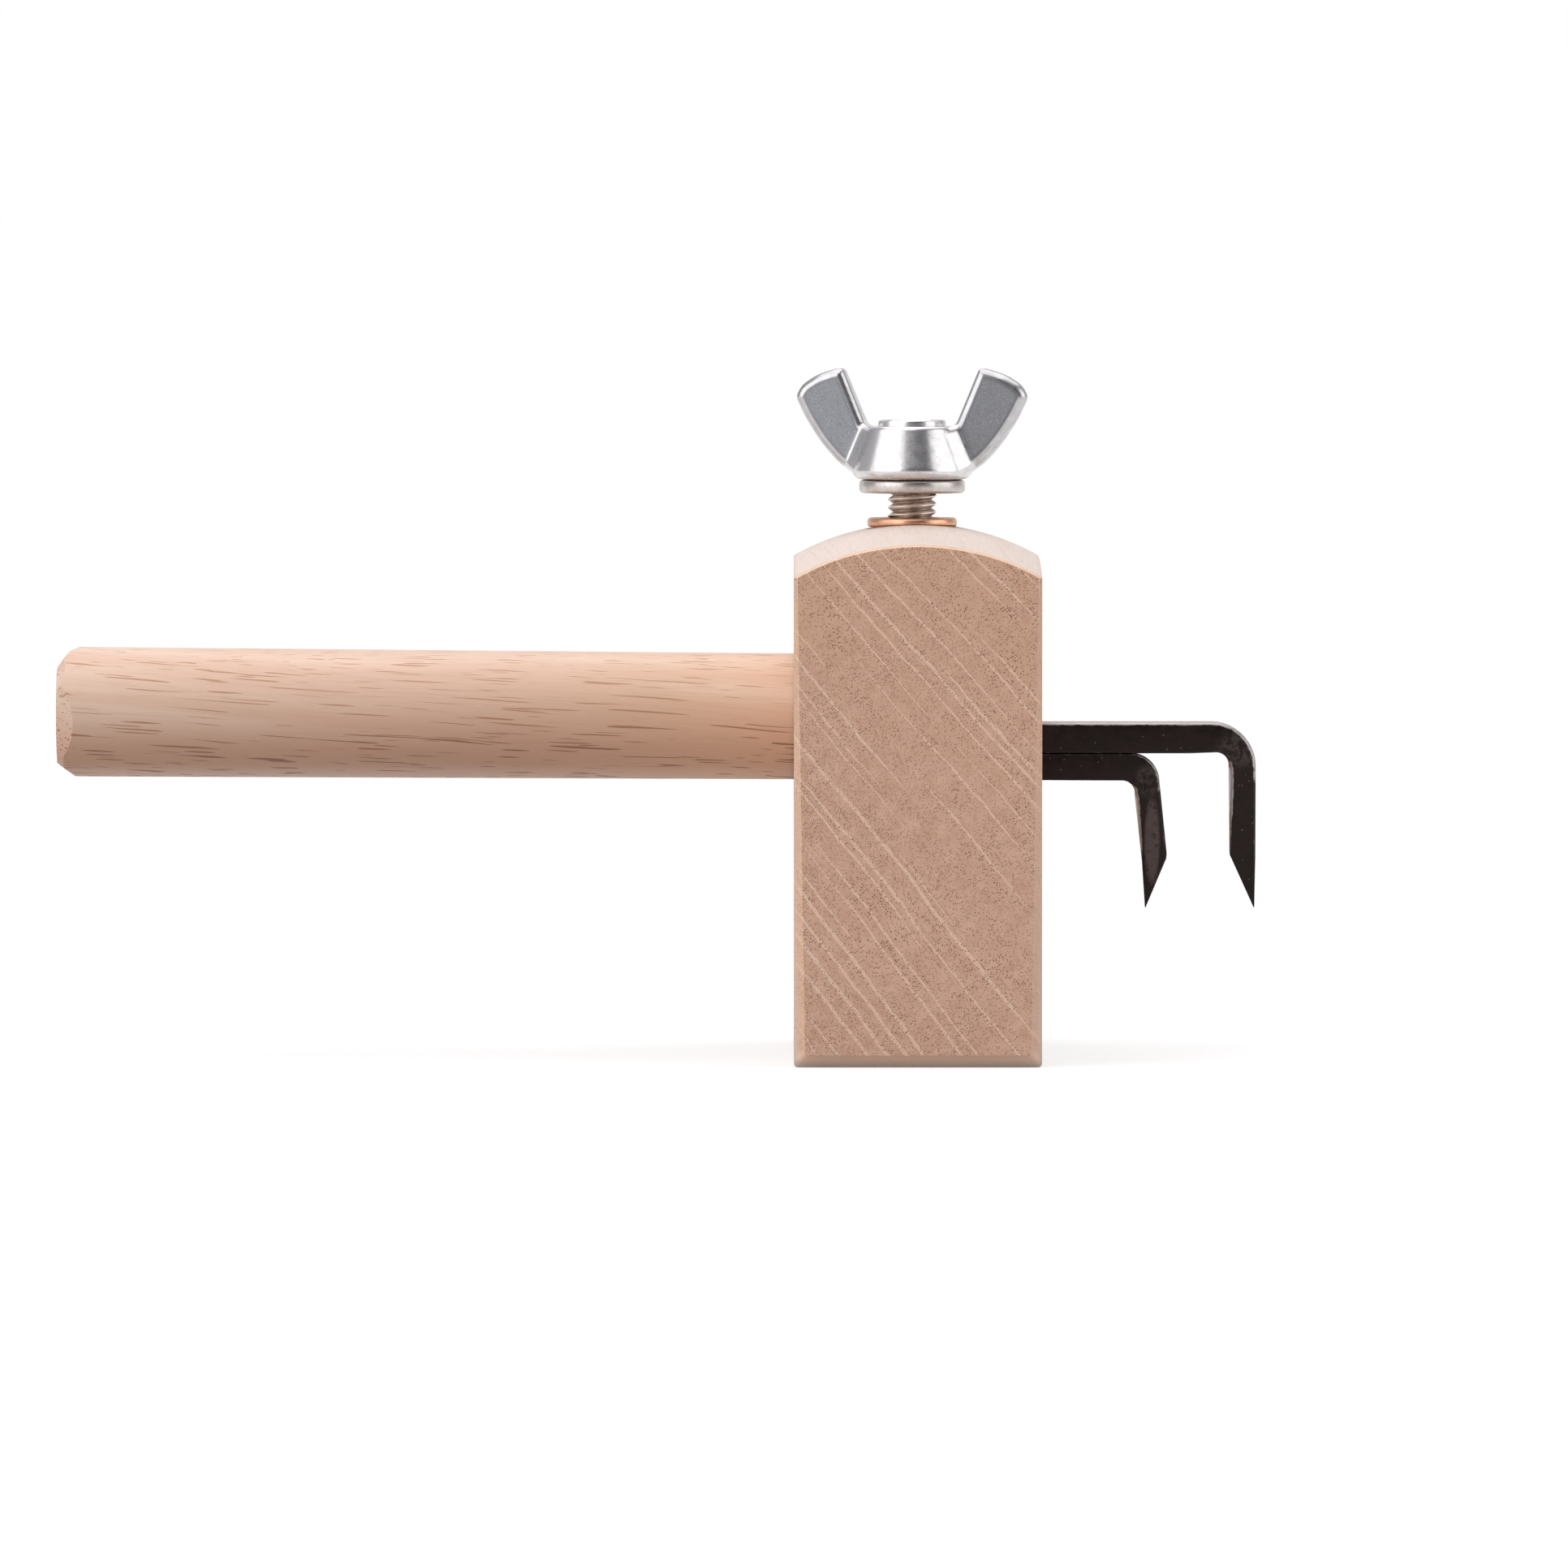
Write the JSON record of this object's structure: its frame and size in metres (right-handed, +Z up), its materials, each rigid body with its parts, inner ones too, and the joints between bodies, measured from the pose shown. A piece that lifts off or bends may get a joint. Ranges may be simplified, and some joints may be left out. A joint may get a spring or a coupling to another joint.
{
  "type": "marking gauge",
  "caption": "Mortise marking gauge: crowned wooden fence block on a round handle, with L-shaped steel scoring blades that slide under a wing screw clamp.",
  "frame": {"origin": "centre of the fence block's flat foot", "axes": "+Z up, away from the foot; +X towards the blades, square to the fence face; the block is drawn along Y in use"},
  "size_m": [0.1469, 0.075, 0.0841],
  "materials": {
    "block_wood": "planed pale oak, oiled lightly",
    "handle_wood": "turned pale oak, bare",
    "blade_steel": "forged, black scale",
    "bright_plate": "bright plated, slightly frosted",
    "thread_steel": "rolled thread, dull",
    "bush_copper": "copper coloured plate, bright"
  },
  "bodies": {
    "stock": {"fence_block": "block_wood", "handle": "handle_wood", "screw_bush": "bush_copper"},
    "inner_blade_body": {"inner_blade": "blade_steel"},
    "outer_blade_body": {"outer_blade": "blade_steel"},
    "pad_body": {"pressure_pad": "thread_steel"},
    "wing_screw": {"clamp_screw": "thread_steel", "wing_washer": "bright_plate", "wing_head": "bright_plate"}
  },
  "joints": [
    {"name": "inner_blade_slide", "type": "slide", "parent": "stock", "child": "inner_blade_body", "axis": [1, 0, 0], "range_m": [-0.0105, 0.035]},
    {"name": "outer_blade_slide", "type": "slide", "parent": "inner_blade_body", "child": "outer_blade_body", "axis": [1, 0, 0], "range_m": [-0.006, 0.025]},
    {"name": "pad_lift", "type": "slide", "parent": "stock", "child": "pad_body", "axis": [0, 0, 1], "range_m": [0, 0.003]},
    {"name": "wing_turn", "type": "hinge", "parent": "pad_body", "child": "wing_screw", "pos_m": [-0.0005, 0, 0.07], "axis": [0, 0, 1], "range_deg": [0, 1080]}
  ],
  "couplings": [
    {"joint": "pad_lift", "follows": "wing_turn", "m_per_rad": 0.000159}
  ]
}
